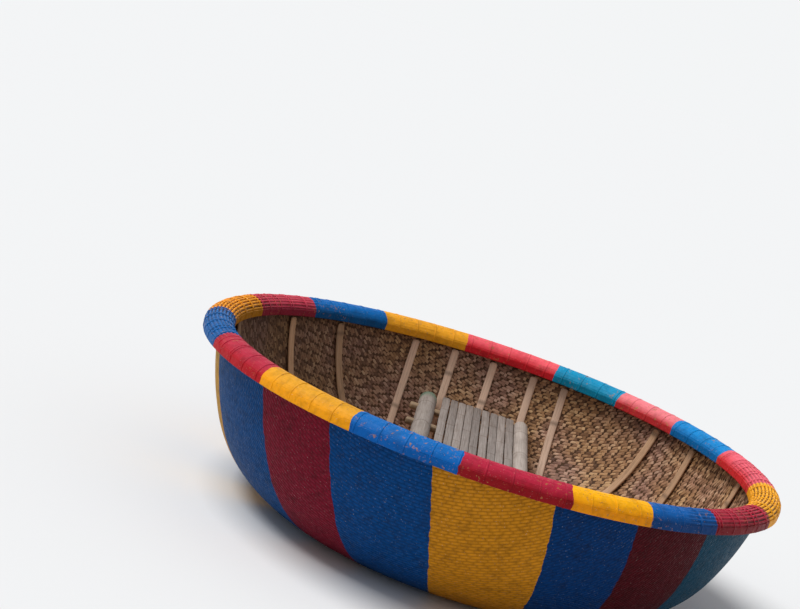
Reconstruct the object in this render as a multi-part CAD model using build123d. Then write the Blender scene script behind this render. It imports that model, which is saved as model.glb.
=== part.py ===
"""Round woven basket coracle with a lashed cane rim and a slatted bench. Millimetres, +Z up.

The origin is on the hull's axis at the level waterline of the empty boat. Seen from above,
angles run anticlockwise from +X, and the bench runs along Y.
"""

from build123d import *
import math
import os

# Overall shape of the bowl, over its painted outside
RIM_RADIUS = 950.0  # from the hull's axis to the middle of the rim
RIM_ABOVE_WATER = 510.0  # height of the hoops' middle above the waterline
DRAUGHT = 80.0  # depth of the bottom below the waterline
SIDE_ARC = 900.0  # radius of the wall's curve, seen from the side
BILGE_ARC = 400.0  # radius where the wall turns into the floor
FLOOR_ARC = 2200.0  # radius of the nearly flat floor
WALL_SET_IN = 5.0  # the wall's outside from the rim's middle, WALL_GAUGE_DROP below it
WALL_GAUGE_DROP = 50.0
WALL_LEAN = 9.5  # degrees that the wall leans in at that height
SIDE_BAND_COUNT = 3  # straight bands that make up each curve of the wall
BILGE_BAND_COUNT = 4
FLOOR_BAND_COUNT = 2
WALL = 11.0  # thickness of the woven wall with its coat of paint outside
SEAT = 0.3  # clearance between two pieces that lie on each other

# Rim: two hoops outside two bundles of canes, which hold the wall's edge between them
RIM_WIDTH = 102.0  # over the two hoops
HOOP_THICKNESS = 8.0
HOOP_HEIGHT = 26.0
HOOP_TOP = -0.5  # the hoops' upper edge, from the middle height of the rim
BUNDLE_LIFT = 2.0  # the bundles stop this far above the hoops' lower edge
DOME_RISE = 33.0  # the canes' crown above the hoops' upper edge
CANE_PITCH = 12.3  # from one cane to the next, along the dome
CANE_GROOVE = 2.6  # depth of the groove between two canes
WALL_UNDER_DOME = 6.0  # the wall's edge stops this far under the crown

# Ties round the rim
TIE_PITCH = 78.0
TIE_WIDTH = 8.0
TIE_THICKNESS = 1.8
TIE_CHORD_COUNT = 4  # straight stretches in which a tie passes over the dome

# Laths inside the bowl
LONG_LATHS = [-297.0, -141.0, 13.0, 175.0, 297.0]  # x of those that run along Y
PAST_RIM = 1200.0
CROSS_LATHS = [  # degrees turned from +X, offset from the axis, first and last place along it
    (0.0, -680.0, -PAST_RIM, PAST_RIM),
    (0.0, -520.0, -PAST_RIM, PAST_RIM),
    (0.0, -200.0, -PAST_RIM, PAST_RIM),
    (0.0, 200.0, -PAST_RIM, PAST_RIM),
    (17.0, 446.0, -30.0, PAST_RIM),
    (34.0, 0.0, 445.0, PAST_RIM),
    (-24.0, 195.0, -PAST_RIM, -260.0),
]
LATH_WIDTH = 29.0
LONG_LATH_THICKNESS = 7.0
CROSS_LATH_THICKNESS = 12.0
LATH_TOP_GAP = 6.0  # the laths stop this far below the ties

# Bench: slats on rungs that pass through two bamboo poles
BENCH_TURN = -0.9  # degrees that the bench is turned about the axis
BENCH_BELOW_RIM = 212.0  # the slats' top face, from the middle height of the rim
SLAT_COUNT = 9
SLAT_PITCH = 31.5
SLAT_WIDTH = 29.5
SLAT_THICKNESS = 12.0
SLAT_END_GAP = 4.0  # least gap from a slat's end to the laths on the wall
SLAT_END_BEVEL = 6.0
SLATS_MIDDLE = -5.5  # x of the middle of the row of slats
POLE_TABLE = {
    "left": {"x": -198.0, "diameter": 68.0},
    "right": {"x": 168.0, "diameter": 57.0},
}
POLE_END_BEVEL = 16.0
POLE_OVER_SLATS = 8.0  # the poles' crown above the slats' top face
KNOT_PITCH = 330.0  # between two of a bamboo pole's knots
KNOT_WIDTH = 14.0
KNOT_RISE = 2.0
RUNG_COUNT = 6
RUNG_END_INSET = 208.0  # from a slat's end to the nearest rung's middle
RUNG_WIDTH = 34.0
RUNG_THICKNESS = 26.0
RUNG_OVERHANG = 62.0  # past the left pole's axis
RUNG_BLIND_END = 14.0  # past the right pole's axis, inside the pole

EPS = 1.0
FAR = 3000.0

hoop_bottom = HOOP_TOP - HOOP_HEIGHT
half_rim = RIM_WIDTH / 2


def circle_meeting(a, radius_a, b, radius_b):
    """The meeting point, further from the axis, of two circles given in the (r, z) plane."""
    apart = math.dist(a, b)
    along = (radius_a**2 - radius_b**2 + apart**2) / (2 * apart)
    aside = math.sqrt(radius_a**2 - along**2)
    ux, uz = (b[0] - a[0]) / apart, (b[1] - a[1]) / apart
    options = [
        (a[0] + along * ux - s * aside * uz, a[1] + along * uz + s * aside * ux)
        for s in (1, -1)
    ]
    return max(options)


lean = math.radians(WALL_LEAN)
side_centre = (
    RIM_RADIUS - WALL_SET_IN - SIDE_ARC * math.cos(lean),
    RIM_ABOVE_WATER - WALL_GAUGE_DROP + SIDE_ARC * math.sin(lean),
)
floor_centre = (0.0, FLOOR_ARC - DRAUGHT)
bilge_centre = circle_meeting(
    side_centre, SIDE_ARC - BILGE_ARC, floor_centre, FLOOR_ARC - BILGE_ARC
)


def steepness(centre, through):
    """Angle below the horizontal of the line from one point to another, in radians."""
    return math.atan2(centre[1] - through[1], through[0] - centre[0])


side_end = steepness(side_centre, bilge_centre)
bilge_end = steepness(floor_centre, bilge_centre)

# The wall's three curves from the top down: centre, radius, first and last steepness, bands
WALL_CURVES = [
    (side_centre, SIDE_ARC, 0, side_end, SIDE_BAND_COUNT),
    (bilge_centre, BILGE_ARC, side_end, bilge_end, BILGE_BAND_COUNT),
    (floor_centre, FLOOR_ARC, bilge_end, math.pi / 2, FLOOR_BAND_COUNT),
]


def bowl_outline(inset):
    """Points (r, z) down the wall and along the floor to the axis, an inset in from outside."""
    points = [(side_centre[0] + SIDE_ARC - inset, side_centre[1])]
    for centre, radius, first, last, bands in WALL_CURVES:
        for band in range(1, bands + 1):
            angle = first + (last - first) * band / bands
            reach = radius - inset
            points.append(
                (centre[0] + reach * math.cos(angle), centre[1] - reach * math.sin(angle))
            )
    return points


def wall_reach(inset, height):
    """Distance from the axis to the wall at a height, an inset in from its outside."""
    points = bowl_outline(inset)
    for (r_high, z_high), (r_low, z_low) in zip(points, points[1:]):
        if z_low <= height <= z_high:
            return r_low + (r_high - r_low) * (height - z_low) / (z_high - z_low)
    raise ValueError("no wall at that height")


def flat(point):
    """A point of the (r, z) plane as one of the XZ plane."""
    return (point[0], 0, point[1])


def section(points):
    """Face in the XZ plane with the given corners."""
    return make_face(Polyline([flat(point) for point in points], close=True))


def bowl_section(inset, top):
    """Face in the XZ plane of all that lies inside the bowl, below a height."""
    whole = section(bowl_outline(inset) + [(0, side_centre[1])])
    return whole & section([(0, -FAR), (FAR, -FAR), (FAR, top), (0, top)])


def bowl(inset, top):
    """Solid of all that lies inside the bowl, an inset in from its outside."""
    return revolve(bowl_section(inset, top), Axis.Z)


def spun(section):
    """Ring made by turning a section in the XZ plane round the hull's axis."""
    return revolve(section, Axis.Z)


def rim_point(across, up):
    """A place on the rim's section, from the middle of the rim, as a point (r, z)."""
    return (RIM_RADIUS + across, RIM_ABOVE_WATER + up)


def rim_box(inner, outer, low, high):
    """Face in the XZ plane between two offsets from the rim's middle and two heights."""
    corners = [(inner, low), (outer, low), (outer, high), (inner, high)]
    return section([rim_point(*corner) for corner in corners])


# The dome is an arc from one hoop's upper edge to the other's
dome_arc = (half_rim**2 + DOME_RISE**2) / (2 * DOME_RISE)
dome_half_angle = math.asin(half_rim / dome_arc)
dome_drop = dome_arc - DOME_RISE - HOOP_TOP - SEAT
cane_count = 2 * round(dome_half_angle * dome_arc / CANE_PITCH)
wall_top = RIM_ABOVE_WATER + dome_arc - dome_drop - WALL_UNDER_DOME


def on_dome(angle, lift):
    """A place on the rim's section at an angle from upright, lifted off the dome."""
    reach = dome_arc + lift
    return rim_point(reach * math.sin(angle), reach * math.cos(angle) - dome_drop)


def make_basket_hull():
    return bowl(0, wall_top) - bowl(WALL, wall_top + EPS)


def make_hoop(side):
    edges = sorted((side * half_rim, side * (half_rim - HOOP_THICKNESS)))
    return spun(rim_box(*edges, hoop_bottom, HOOP_TOP))


def bundle_section():
    """Section of both bundles: a block between the hoops, with ridged canes on its dome."""
    reach = half_rim - HOOP_THICKNESS - SEAT
    low, lip = hoop_bottom + BUNDLE_LIFT, HOOP_TOP + SEAT
    step = 2 * dome_half_angle / cane_count
    ridges = [rim_point(-half_rim, lip)]
    for number in range(cane_count):
        angle = (number + 0.5) * step - dome_half_angle
        ridges.append(on_dome(angle, 0))
        if number < cane_count - 1:
            ridges.append(on_dome(angle + step / 2, -CANE_GROOVE))
    ridges.append(rim_point(half_rim, lip))
    block = [(reach, lip), (reach, low), (-reach, low), (-reach, lip)]
    return section(ridges + [rim_point(*corner) for corner in block])


def make_outer_bundle():
    """Canes outside the wall, and the one that covers the wall's edge."""
    high = RIM_ABOVE_WATER + DOME_RISE + EPS
    face = bundle_section() - bowl_section(-SEAT, wall_top + SEAT)
    return spun(face - bowl_section(WALL, high))


def make_inner_bundle():
    high = RIM_ABOVE_WATER + DOME_RISE + EPS
    return spun(bundle_section() & bowl_section(WALL + SEAT, high))


def tie_outline(grow):
    """Outline round hoops and canes, grown outwards, as a face in the XZ plane."""
    reach, low = half_rim + SEAT + grow, hoop_bottom - SEAT - grow
    step = 2 * dome_half_angle / TIE_CHORD_COUNT
    lift = (dome_arc + SEAT + grow) / math.cos(step / 2) - dome_arc
    crown = [
        on_dome((number + 0.5) * step - dome_half_angle, lift)
        for number in range(TIE_CHORD_COUNT)
    ]
    left = [rim_point(-reach, low), rim_point(-reach, HOOP_TOP + SEAT)]
    right = [rim_point(reach, HOOP_TOP + SEAT), rim_point(reach, low)]
    return section(left + crown + right)


def make_rim_ties():
    """Flat bands round the rim, each open where the wall passes through."""
    band = tie_outline(TIE_THICKNESS) - tie_outline(0)
    passing = bowl_section(-SEAT, RIM_ABOVE_WATER) - bowl_section(WALL + SEAT, RIM_ABOVE_WATER)
    tie = extrude(band - passing, TIE_WIDTH / 2, both=True)
    count = round(2 * math.pi * RIM_RADIUS / TIE_PITCH)
    return [Rot(0, 0, (n + 0.5) * 360 / count) * tie for n in range(count)]


def lath_top():
    return RIM_ABOVE_WATER + hoop_bottom - SEAT - TIE_THICKNESS - LATH_TOP_GAP


def slab(x, y, width_x, width_y):
    """Upright block, as tall as the boat, round a place seen from above."""
    return Pos(x, y, 0) * Box(width_x, width_y, FAR)


def lath_layer(outer, inner):
    """Bowl-shaped layer between two insets from the weave's inside, to cut laths from."""
    weave = WALL + SEAT
    return bowl(weave + outer, lath_top()) - bowl(weave + inner, lath_top() + EPS)


def long_laths(grow):
    """Laths along the bench's direction, grown all round."""
    layer = lath_layer(-grow, LONG_LATH_THICKNESS + grow)
    return [layer & slab(x, 0, LATH_WIDTH + 2 * grow, FAR) for x in LONG_LATHS]


def make_cross_laths():
    """Laths across the boat, notched to pass over the long ones."""
    layer = lath_layer(0, CROSS_LATH_THICKNESS)
    passing = long_laths(SEAT)
    laths = []
    for turn, offset, first, last in CROSS_LATHS:
        strip = slab((first + last) / 2, offset, last - first, LATH_WIDTH)
        laths.append(layer & Rot(0, 0, turn) * strip - passing)
    return laths


slat_top = RIM_ABOVE_WATER - BENCH_BELOW_RIM
slat_bottom = slat_top - SLAT_THICKNESS
rung_top = slat_bottom - SEAT

# The slats end just short of the laths on the wall, where the row is widest
slat_row_half = (SLAT_COUNT - 1) * SLAT_PITCH / 2 + SLAT_WIDTH / 2
slat_corner = slat_row_half + abs(SLATS_MIDDLE)
slat_end_reach = wall_reach(WALL + SEAT + LONG_LATH_THICKNESS, slat_bottom) - SLAT_END_GAP
slat_half_length = math.sqrt(slat_end_reach**2 - slat_corner**2)


def on_bench(shape):
    return Rot(0, 0, BENCH_TURN) * shape


def make_slats():
    """Flat strips with bevelled ends, side by side."""
    outline = Rectangle(SLAT_WIDTH, 2 * slat_half_length)
    outline = chamfer(outline.vertices(), SLAT_END_BEVEL)
    slat = extrude(outline, -SLAT_THICKNESS)
    first = SLATS_MIDDLE - SLAT_PITCH * (SLAT_COUNT - 1) / 2
    return [
        on_bench(Pos(first + n * SLAT_PITCH, 0, slat_top) * slat)
        for n in range(SLAT_COUNT)
    ]


def pole_section(radius, half):
    """Half section of a bamboo pole with bevelled ends and raised knots, along X."""
    shoulder = half - POLE_END_BEVEL
    points = [(-half, 0), (-half, radius - POLE_END_BEVEL), (-shoulder, radius)]
    count = int(2 * (shoulder - KNOT_WIDTH) // KNOT_PITCH)
    for number in range(count + 1):
        middle = (number - count / 2) * KNOT_PITCH
        points.append((middle - KNOT_WIDTH / 2, radius))
        points.append((middle, radius + KNOT_RISE))
        points.append((middle + KNOT_WIDTH / 2, radius))
    points += [(shoulder, radius), (half, radius - POLE_END_BEVEL), (half, 0)]
    return make_face(Polyline(points, close=True))


def rungs(grow):
    """Crosswise rungs under the slats, through one pole and into the other, grown all round."""
    left = POLE_TABLE["left"]["x"] - RUNG_OVERHANG
    right = POLE_TABLE["right"]["x"] + RUNG_BLIND_END
    sizes = (right - left, RUNG_WIDTH, RUNG_THICKNESS)
    rung = Box(*[size + 2 * grow for size in sizes])
    middle, height = (left + right) / 2, rung_top - RUNG_THICKNESS / 2
    last = slat_half_length - RUNG_END_INSET
    step = 2 * last / (RUNG_COUNT - 1)
    places = [(middle, n * step - last, height) for n in range(RUNG_COUNT)]
    return [on_bench(Pos(*place) * rung) for place in places]


def make_pole(x, diameter):
    """Bamboo pole with a hole for each rung, its ends trimmed to rest on the wall."""
    height = slat_top + POLE_OVER_SLATS - diameter / 2
    half = math.sqrt(wall_reach(WALL + SEAT, height) ** 2 - x**2)
    pole = Rot(0, 0, 90) * revolve(pole_section(diameter / 2, half), Axis.X)
    pole = on_bench(Pos(x, 0, height) * pole) & bowl(WALL + SEAT, RIM_ABOVE_WATER)
    return pole - rungs(SEAT) - long_laths(SEAT)


def write(node, shape):
    solids = shape if isinstance(shape, list) else [shape]
    whole = Compound(label=node, children=solids) if len(solids) > 1 else solids[0]
    export_step(whole, os.path.join("parts", node + ".step"))


def main():
    os.makedirs("parts", exist_ok=True)
    write("basket_hull", make_basket_hull())
    write("rim_outer_hoop", make_hoop(1))
    write("rim_inner_hoop", make_hoop(-1))
    write("rim_outer_bundle", make_outer_bundle())
    write("rim_inner_bundle", make_inner_bundle())
    write("rim_ties", make_rim_ties())
    for number, lath in enumerate(long_laths(0), 1):
        write(f"long_lath_{number}", lath)
    for number, lath in enumerate(make_cross_laths(), 1):
        write(f"cross_lath_{number}", lath)
    for number, slat in enumerate(make_slats(), 1):
        write(f"bench_slat_{number}", slat)
    for name, pole in POLE_TABLE.items():
        write(f"bench_pole_{name}", make_pole(**pole))
    for number, rung in enumerate(rungs(0), 1):
        write(f"bench_rung_{number}", rung)


main()
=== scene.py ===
# %% [markdown]
# # A woven basket coracle with a painted cane rim
# The boat is a bamboo mat pressed into a bowl. Its outside is painted in colour sectors, its rim
# is a thick bundle of canes bound between two hoops, and a bamboo bench crosses it. The packed
# model gives the construction; this script gives every piece its finish. Metres, +Z up, the
# origin on the hull's axis at the waterline.

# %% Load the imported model
import math
import bpy
import numpy as np
from mathutils import Matrix, Vector


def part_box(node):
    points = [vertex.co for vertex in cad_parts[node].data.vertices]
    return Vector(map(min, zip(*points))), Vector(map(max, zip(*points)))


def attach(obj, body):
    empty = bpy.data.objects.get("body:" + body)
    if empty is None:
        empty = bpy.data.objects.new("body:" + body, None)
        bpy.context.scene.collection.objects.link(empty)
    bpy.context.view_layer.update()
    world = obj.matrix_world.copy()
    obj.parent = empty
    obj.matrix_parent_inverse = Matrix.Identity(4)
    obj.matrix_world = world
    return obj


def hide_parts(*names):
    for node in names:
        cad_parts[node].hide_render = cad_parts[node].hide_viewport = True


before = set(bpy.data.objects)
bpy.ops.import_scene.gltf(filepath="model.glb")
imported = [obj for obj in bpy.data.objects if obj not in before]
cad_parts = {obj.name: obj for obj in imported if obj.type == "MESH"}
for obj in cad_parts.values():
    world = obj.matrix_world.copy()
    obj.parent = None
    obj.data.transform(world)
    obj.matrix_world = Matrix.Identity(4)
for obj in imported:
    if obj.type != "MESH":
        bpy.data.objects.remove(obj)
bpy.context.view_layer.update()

# %% [markdown]
# ## Camera
# The camera stands off the near side, a little above the rim, and leans over by 18 degrees, so
# that the level boat shows with the tilt that it has in the reference. Its three axes are
# worked out from that lean and from how far it looks down.

# %% Camera
CAMERA_PLACE = Vector((-0.399, -6.274, 1.794))
LOOK_DOWN = math.radians(9.642)
CAMERA_LEAN = math.radians(18.230)
LENS_MM = 86.2

back = Vector((0, -math.cos(LOOK_DOWN), math.sin(LOOK_DOWN)))
level_up = Vector((0, math.sin(LOOK_DOWN), math.cos(LOOK_DOWN)))
right = math.cos(CAMERA_LEAN) * Vector((1, 0, 0)) + math.sin(CAMERA_LEAN) * level_up
up = back.cross(right)
camera = bpy.data.objects.new("camera", bpy.data.cameras.new("camera"))
camera.data.lens = LENS_MM
camera.matrix_world = Matrix((right, up, back)).transposed().to_4x4()
camera.matrix_world.translation = CAMERA_PLACE
bpy.context.collection.objects.link(camera)
bpy.context.scene.camera = camera
bpy.context.scene.view_settings.view_transform = "Standard"

# %% [markdown]
# ## Writing node trees
# Geometry Nodes and shader nodes are written with the same few helpers. `step` adds one node:
# its inputs are given by name, with a constant or with another node's output, and it returns
# one of its own outputs. Arithmetic with such an output adds Math nodes, so a tree reads from
# top to bottom like ordinary code.


# %% Outputs of nodes, and arithmetic with them
class Value:
    """One output of a node. Arithmetic with it adds Math nodes to its tree."""

    def __init__(self, tree, socket):
        self.tree, self.socket = tree, socket

    def __add__(self, other):
        return calc("ADD", self, other)

    def __sub__(self, other):
        return calc("SUBTRACT", self, other)

    def __rsub__(self, other):
        return calc("SUBTRACT", other, self)

    def __mul__(self, other):
        return calc("MULTIPLY", self, other)

    def __truediv__(self, other):
        return calc("DIVIDE", self, other)


# %% Adding nodes to a tree
def feed(socket, value):
    """Link a value to an input, or give the input a constant."""
    if isinstance(value, Value):
        value.tree.links.new(value.socket, socket)
    else:
        socket.default_value = value


def tree_of(*values):
    """The node tree of the first value that isn't a constant."""
    return next(value.tree for value in values if isinstance(value, Value))


def step(tree, kind, feeds=None, out=0, **settings):
    """Add a node, set its properties, feed its inputs by name, and return one output."""
    node = tree.nodes.new(kind)
    for name, setting in settings.items():
        setattr(node, name, setting)
    for name, value in (feeds or {}).items():
        sockets = [s for s in node.inputs if s.name == name]
        feed(next((s for s in sockets if s.enabled), sockets[0]), value)
    return Value(tree, node.outputs[out])


def calc(operation, *values, kind="ShaderNodeMath"):
    """Add a Math node with its values in order."""
    tree = tree_of(*values)
    node = tree.nodes.new(kind)
    node.operation = operation
    for socket, value in zip(node.inputs, values):
        feed(socket, value)
    return Value(tree, node.outputs["Value" if operation in ("LENGTH", "DOT_PRODUCT") else 0])


def vector_calc(operation, *values):
    """Add a Vector Math node with its values in order."""
    return calc(operation, *values, kind="ShaderNodeVectorMath")


def scaled(direction, amount):
    """A direction made as long as an amount says."""
    feeds = {"Vector": direction, "Scale": amount}
    return step(direction.tree, "ShaderNodeVectorMath", feeds, operation="SCALE")


def vector(x=0.0, y=0.0, z=0.0):
    return step(tree_of(x, y, z), "ShaderNodeCombineXYZ", {"X": x, "Y": y, "Z": z})


def parts_of(value):
    """The X, Y and Z of a vector."""
    node = step(value.tree, "ShaderNodeSeparateXYZ", {"Vector": value}).socket.node
    return [Value(value.tree, output) for output in node.outputs]


# %% Trees with named inputs and outputs
FLOAT, COLOUR, SHAPE = "NodeSocketFloat", "NodeSocketColor", "NodeSocketGeometry"
KIND_OF = {float: FLOAT, int: "NodeSocketInt", tuple: COLOUR}


def new_tree(name, kind, inputs, outputs):
    """A node tree and its inputs. An input is named with its default value or its kind."""
    tree = bpy.data.node_groups.new(name, kind)
    for label, value in inputs.items():
        socket_type = KIND_OF.get(type(value), value)
        socket = tree.interface.new_socket(label, in_out="INPUT", socket_type=socket_type)
        if socket_type != value:
            socket.default_value = value
    for label, socket_type in outputs.items():
        tree.interface.new_socket(label, in_out="OUTPUT", socket_type=socket_type)
    sockets = tree.nodes.new("NodeGroupInput").outputs
    return tree, {label: Value(tree, sockets[label]) for label in inputs}


def close_tree(tree, **results):
    """Feed the tree's outputs by name."""
    end = tree.nodes.new("NodeGroupOutput")
    for label, value in results.items():
        feed(end.inputs[label], value)


def shape_tree(name, **inputs):
    """A geometry tree from a start mesh and a material. Other inputs are named with _."""
    inputs = {label.replace("_", " "): value for label, value in inputs.items()}
    inputs = {"Geometry": SHAPE, **inputs, "Material": "NodeSocketMaterial"}
    return new_tree(name, "GeometryNodeTree", inputs, {"Geometry": SHAPE})


def close_shape(shape, material):
    """End a geometry tree: instances made real, shaded smooth, and given their material."""
    tree = shape.tree
    real = step(tree, "GeometryNodeRealizeInstances", {"Geometry": shape})
    smooth = step(tree, "GeometryNodeSetShadeSmooth", {"Geometry": real})
    dressed = step(tree, "GeometryNodeSetMaterial", {"Geometry": smooth, "Material": material})
    close_tree(tree, Geometry=dressed)


# %% Helpers for shapes
def position(tree):
    return step(tree, "GeometryNodeInputPosition")


def as_curve(mesh):
    return step(mesh.tree, "GeometryNodeMeshToCurve", {"Mesh": mesh})


def flat_grid(tree, size_x, size_y, count_x, count_y):
    feeds = {"Size X": size_x, "Size Y": size_y, "Vertices X": count_x, "Vertices Y": count_y}
    return step(tree, "GeometryNodeMeshGrid", feeds)


def placed(shape, place):
    """A shape with each of its points put at a place."""
    return step(shape.tree, "GeometryNodeSetPosition", {"Geometry": shape, "Position": place})


def moved(shape, offset):
    """A shape with each of its points moved by an offset."""
    return step(shape.tree, "GeometryNodeSetPosition", {"Geometry": shape, "Offset": offset})


def stored(shape, name, value, **settings):
    """A shape that carries a value under a name."""
    feeds = {"Geometry": shape, "Name": name, "Value": value}
    return step(shape.tree, "GeometryNodeStoreNamedAttribute", feeds, **settings)


# %% From a tree to a finished piece
def grow(name, tree, start, **values):
    """Run a geometry tree on a start mesh, and keep the result as a plain mesh object."""
    piece = bpy.data.objects.new(name, start)
    bpy.context.collection.objects.link(piece)
    modifier = piece.modifiers.new("grow", "NODES")
    modifier.node_group = tree
    for item in tree.interface.items_tree:
        label = item.name.replace(" ", "_")
        if item.in_out == "INPUT" and label in values:
            modifier[item.identifier] = values[label]
    depsgraph = bpy.context.evaluated_depsgraph_get()
    mesh = bpy.data.meshes.new_from_object(piece.evaluated_get(depsgraph), depsgraph=depsgraph)
    piece.modifiers.clear()
    piece.data = mesh
    mesh.name = name
    triangles = sum(len(polygon.vertices) - 2 for polygon in mesh.polygons)
    print(f"{name}: {triangles} triangles")
    return piece


def fit(piece, slot, *nodes):
    """A finished piece rides on the boat's one body and stands for its CAD nodes."""
    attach(piece, "root")
    if nodes:
        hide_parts(*nodes)


# %% [markdown]
# ## Colours
# Colours are named by their everyday red, green and blue from 0 to 255. Blender wants them
# linear, so `paint` converts them. The bands of the rim and the panels of the hull are tables
# of the angle where each colour starts, anticlockwise from the right as seen from above. Each
# of the rim's bands has two colours: a top lighter with painted light, sides with painted shade.


# %% Colours and the tables of bands
def paint(red, green, blue):
    """An everyday colour as Blender's linear colour."""

    def linear(value):
        share = value / 255
        return share / 12.92 if share <= 0.04045 else ((share + 0.055) / 1.055) ** 2.4

    return (linear(red), linear(green), linear(blue), 1.0)


RIM_BANDS = [  # where it starts, side colour with painted shade, top colour with painted light
    (359.6, (208, 42, 46), (236, 100, 116)),
    (21.1, (5, 102, 168), (4, 132, 202)),
    (40.2, (196, 48, 52), (238, 126, 134)),
    (57.3, (8, 128, 164), (6, 144, 188)),
    (73.6, (206, 32, 42), (240, 92, 104)),
    (96.2, (232, 156, 32), (240, 164, 38)),
    (117.3, (6, 82, 140), (5, 104, 180)),
    (138.5, (144, 34, 56), (214, 68, 90)),
    (159.8, (186, 124, 22), (246, 158, 28)),
    (182.1, (4, 84, 148), (5, 92, 160)),
    (203.4, (170, 18, 30), (178, 38, 62)),
    (222.5, (240, 156, 14), (224, 157, 34)),
    (243.4, (3, 88, 166), (5, 102, 178)),
    (263.7, (142, 14, 24), (182, 36, 64)),
    (282.8, (232, 142, 6), (252, 178, 14)),
    (298.9, (4, 56, 112), (6, 92, 168)),
    (314.8, (118, 14, 26), (186, 44, 66)),
    (334.8, (236, 160, 22), (248, 174, 34)),
]
HULL_PANELS = [  # where it starts under the rim, and its colour
    (359.6, (6, 66, 120)),
    (21.1, (110, 14, 32)),
    (40.2, (6, 70, 126)),
    (57.3, (190, 132, 34)),
    (73.6, (6, 64, 118)),
    (96.2, (116, 14, 32)),
    (117.3, (5, 66, 122)),
    (138.5, (192, 134, 36)),
    (159.8, (6, 66, 120)),
    (180.0, (196, 144, 44)),
    (195.5, (4, 68, 126)),
    (219.8, (122, 20, 42)),
    (238.5, (4, 68, 130)),
    (260.0, (204, 134, 26)),
    (282.0, (3, 54, 110)),
    (299.2, (78, 9, 20)),
    (317.8, (2, 66, 92)),
    (344.0, (194, 136, 34)),
]
print(len(RIM_BANDS), "bands on the rim,", len(HULL_PANELS), "panels on the hull")

# %% [markdown]
# ## Finishes that several materials share
# Each shared effect is a shader node group with named inputs. It gives only colours, masks and
# heights, and each material keeps its own Principled shader. The groups read Object
# coordinates, or attributes that the pieces carry, so nothing slides when the view changes.


# %% Shader helpers
NUMBER, PLACE = 2, 1  # outputs of an Attribute node


def object_place(tree):
    return step(tree, "ShaderNodeTexCoord", out=3)


def attribute(tree, name, out=NUMBER):
    return step(tree, "ShaderNodeAttribute", out=out, attribute_name=name)


def noise(place, scale, detail=3.0, roughness=0.55, out=0):
    feeds = {"Vector": place, "Scale": scale, "Detail": detail, "Roughness": roughness}
    return step(place.tree, "ShaderNodeTexNoise", feeds, out)


def ranged(value, low, high, to_low=0.0, to_high=1.0):
    """A value taken from one range to another, and held inside it."""
    feeds = {"Value": value, "From Min": low, "From Max": high}
    feeds.update({"To Min": to_low, "To Max": to_high})
    return step(value.tree, "ShaderNodeMapRange", feeds)


def spots(place, scale, low, high, detail=3.0, roughness=0.55):
    """A mask of a noise's high spots, from none at one level to full at another."""
    return ranged(noise(place, scale, detail, roughness), low, high)


def mixed(share, first, second, blend="MIX"):
    """Two colours mixed by a share."""
    tree = tree_of(share, first, second)
    node = tree.nodes.new("ShaderNodeMix")
    node.data_type, node.blend_type = "RGBA", blend
    for number, value in ((0, share), (6, first), (7, second)):
        feed(node.inputs[number], value)
    return Value(tree, node.outputs[2])


def shaded(colour, share):
    """A colour darkened, or lightened, by a share."""
    return mixed(1.0, colour, vector(share, share, share), "MULTIPLY")


def ramp(value, stops, interpolation="LINEAR"):
    """A colour ramp with (position, colour) stops."""
    node = value.tree.nodes.new("ShaderNodeValToRGB")
    node.color_ramp.interpolation = interpolation
    elements = node.color_ramp.elements
    elements.remove(elements[1])
    elements[0].position, elements[0].color = stops[0]
    for place, colour in stops[1:]:
        elements.new(place).color = colour
    feed(node.inputs[0], value)
    return Value(value.tree, node.outputs[0])


# %% The rim's two open ends
OPEN_ENDS = [(math.cos(turn), math.sin(turn), 0.0) for turn in map(math.radians, (-18, 172))]
FILLED_SHARES = [  # degrees round from an open end, and how full of paint the rim is there
    (0, 0.0), (12, 0.0), (17.5, 0.55), (32, 0.66), (35, 1.0), (90, 1.0),
]


def towards_open_end(direction):
    """The cosine between a level direction and the nearer one of the rim's two open ends."""
    return calc("MAXIMUM", *[vector_calc("DOT_PRODUCT", direction, end) for end in OPEN_ENDS])


def filled_share(place):
    """How full of paint the rim is, from 0 at its two open ends to 1 along its sides."""
    x, y, _ = parts_of(place)
    nearness = towards_open_end(vector_calc("NORMALIZE", vector(x, y)))
    stops = [(math.cos(math.radians(angle)), (share, share, share, 1.0))
             for angle, share in reversed(FILLED_SHARES)]
    return parts_of(ramp(nearness, stops))[0]


# %% Shared group: turn round the boat
BORDER_WOBBLE, WOBBLE_SCALE = 0.003, 25.0  # in turns, and in wobbles per metre
PANEL_TOP = 0.46  # a twist leaves the borders in place at this height, just under the rim

turn_group, given = new_tree("Turn round the boat", "ShaderNodeTree", {"Twist": 0.0},
                             {"Turn": FLOAT})
place = object_place(turn_group)
x, y, z = parts_of(place)
turn = ranged(calc("ARCTAN2", y, x), -math.pi, math.pi)
wobble = (noise(place, WOBBLE_SCALE) - 0.5) * BORDER_WOBBLE
shift = (z - PANEL_TOP) * given["Twist"] + wobble
close_tree(turn_group, Turn=calc("FRACT", turn + shift))

# %% Shared group: brushed paint
WEAR = [  # the input that scales it, its colour, and its masks, each as `spots` takes them
    ("Specks", paint(206, 200, 190), [(210.0, 0.66, 0.72, 2.0, 0.6)]),
    ("Chips", paint(172, 122, 72), [(75.0, 0.6, 0.63, 4.0, 0.7), (7.0, 0.44, 0.56)]),
    ("Dirt", paint(30, 22, 18), [(24.0, 0.5, 0.75, 5.0, 0.65)]),
]
FADED_TINT, FADED_LIGHT = paint(226, 218, 206), (1.3, 1.3, 1.3, 1.0)
STREAK_SHADE = (0.5, 0.5, 0.5, 1.0)

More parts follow.
